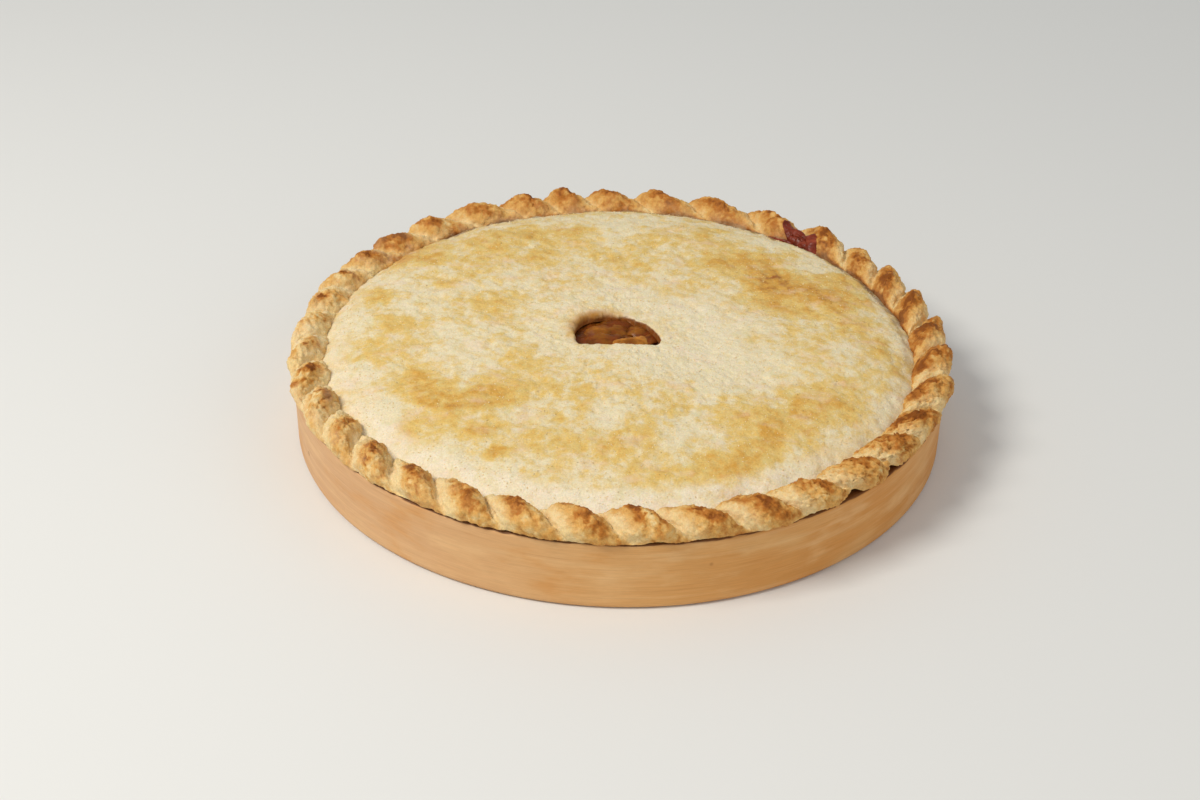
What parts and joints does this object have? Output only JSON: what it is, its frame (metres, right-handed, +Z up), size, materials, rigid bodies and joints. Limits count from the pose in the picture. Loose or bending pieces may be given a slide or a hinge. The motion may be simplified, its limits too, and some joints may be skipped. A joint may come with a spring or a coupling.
{
  "type": "apple pie",
  "caption": "Whole double-crust apple pie with a rope-crimped edge and a half-moon steam vent showing the filling, in a shallow round wooden dish.",
  "frame": {"origin": "centre of the dish's flat underside", "axes": "+Z up, -Y towards the front that the picture shows"},
  "size_m": [0.247, 0.2469, 0.038],
  "materials": {
    "wood": "satin turned wood with fine level grain",
    "pastry": "baked pastry, browned along the crests",
    "pale_pastry": "pale baked pastry with golden patches and sugar",
    "baked_apple": "glossy baked apple in syrup",
    "dark_juice": "sticky dark red boiled juice"
  },
  "bodies": {
    "root": {"dish": "wood", "bottom_crust": "pastry", "apple_filling": "baked_apple", "top_crust": "pale_pastry", "boiled_juice": "dark_juice"}
  },
  "joints": []
}
